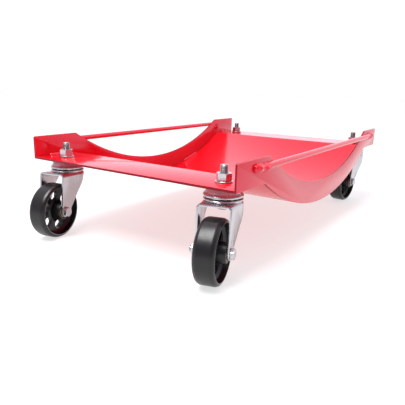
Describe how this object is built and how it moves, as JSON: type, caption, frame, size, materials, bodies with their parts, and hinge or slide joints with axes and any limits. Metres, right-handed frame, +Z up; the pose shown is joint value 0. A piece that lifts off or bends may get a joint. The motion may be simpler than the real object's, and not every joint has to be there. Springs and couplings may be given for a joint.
{
  "type": "wheel dolly",
  "caption": "Low steel dolly with a curved cradle that takes one vehicle tyre, tie rods along its sides and swivel casters at its corners.",
  "frame": {"origin": "on the floor under the centre of the deck", "axes": "+X along the deck's long side and the tie rods, the rear of the dolly; +Y to its left, along the axle of the tyre it carries; +Z up"},
  "size_m": [0.6258, 0.3512, 0.1375],
  "materials": {
    "red_paint": "gloss powder coat",
    "zinc": "bright zinc plate",
    "ball_steel": "polished, greased",
    "black_wheel": "semi-gloss black paint",
    "bronze": "oiled sintered bronze"
  },
  "bodies": {
    "deck": {"bed_plate": "red_paint", "side_plate_left": "red_paint", "side_plate_right": "red_paint", "tie_rod_left": "red_paint", "tie_rod_right": "red_paint", "weld_beads": "red_paint", "front_right_stem": "zinc", "front_right_stem_washer": "zinc", "front_right_stem_nut": "zinc", "front_right_upper_race": "zinc", "front_right_lower_race": "zinc", "front_left_stem": "zinc", "front_left_stem_washer": "zinc", "front_left_stem_nut": "zinc", "front_left_upper_race": "zinc", "front_left_lower_race": "zinc", "rear_left_stem": "zinc", "rear_left_stem_washer": "zinc", "rear_left_stem_nut": "zinc", "rear_left_upper_race": "zinc", "rear_left_lower_race": "zinc", "rear_right_stem": "zinc", "rear_right_stem_washer": "zinc", "rear_right_stem_nut": "zinc", "rear_right_upper_race": "zinc", "rear_right_lower_race": "zinc"},
    "front_right_swivel": {"front_right_upper_balls": "ball_steel", "front_right_fork": "zinc", "front_right_lower_balls": "ball_steel", "front_right_axle_sleeve": "zinc", "front_right_axle_bolt": "zinc", "front_right_axle_nut": "zinc"},
    "front_right_roller": {"front_right_wheel": "black_wheel", "front_right_wheel_bushing": "bronze"},
    "front_left_swivel": {"front_left_upper_balls": "ball_steel", "front_left_fork": "zinc", "front_left_lower_balls": "ball_steel", "front_left_axle_sleeve": "zinc", "front_left_axle_bolt": "zinc", "front_left_axle_nut": "zinc"},
    "front_left_roller": {"front_left_wheel": "black_wheel", "front_left_wheel_bushing": "bronze"},
    "rear_left_swivel": {"rear_left_upper_balls": "ball_steel", "rear_left_fork": "zinc", "rear_left_lower_balls": "ball_steel", "rear_left_axle_sleeve": "zinc", "rear_left_axle_bolt": "zinc", "rear_left_axle_nut": "zinc"},
    "rear_left_roller": {"rear_left_wheel": "black_wheel", "rear_left_wheel_bushing": "bronze"},
    "rear_right_swivel": {"rear_right_upper_balls": "ball_steel", "rear_right_fork": "zinc", "rear_right_lower_balls": "ball_steel", "rear_right_axle_sleeve": "zinc", "rear_right_axle_bolt": "zinc", "rear_right_axle_nut": "zinc"},
    "rear_right_roller": {"rear_right_wheel": "black_wheel", "rear_right_wheel_bushing": "bronze"}
  },
  "joints": [
    {"name": "front_right_swivel_turn", "type": "hinge", "parent": "deck", "child": "front_right_swivel", "pos_m": [-0.2425, -0.132, 0.106], "axis": [0, 0, 1], "continuous": true},
    {"name": "front_right_wheel_roll", "type": "hinge", "parent": "front_right_swivel", "child": "front_right_roller", "pos_m": [-0.27341, -0.14028, 0.038], "axis": [0.2588, -0.9659, 0], "continuous": true},
    {"name": "front_left_swivel_turn", "type": "hinge", "parent": "deck", "child": "front_left_swivel", "pos_m": [-0.2425, 0.132, 0.106], "axis": [0, 0, 1], "continuous": true},
    {"name": "front_left_wheel_roll", "type": "hinge", "parent": "front_left_swivel", "child": "front_left_roller", "pos_m": [-0.27386, 0.12562, 0.038], "axis": [0.1994, -0.9799, 0], "continuous": true},
    {"name": "rear_left_swivel_turn", "type": "hinge", "parent": "deck", "child": "rear_left_swivel", "pos_m": [0.2425, 0.132, 0.106], "axis": [0, 0, 1], "continuous": true},
    {"name": "rear_left_wheel_roll", "type": "hinge", "parent": "rear_left_swivel", "child": "rear_left_roller", "pos_m": [0.27386, 0.12562, 0.038], "axis": [0.1994, 0.9799, 0], "continuous": true},
    {"name": "rear_right_swivel_turn", "type": "hinge", "parent": "deck", "child": "rear_right_swivel", "pos_m": [0.2425, -0.132, 0.106], "axis": [0, 0, 1], "continuous": true},
    {"name": "rear_right_wheel_roll", "type": "hinge", "parent": "rear_right_swivel", "child": "rear_right_roller", "pos_m": [0.21062, -0.12921, 0.038], "axis": [-0.0872, -0.9962, 0], "continuous": true}
  ]
}
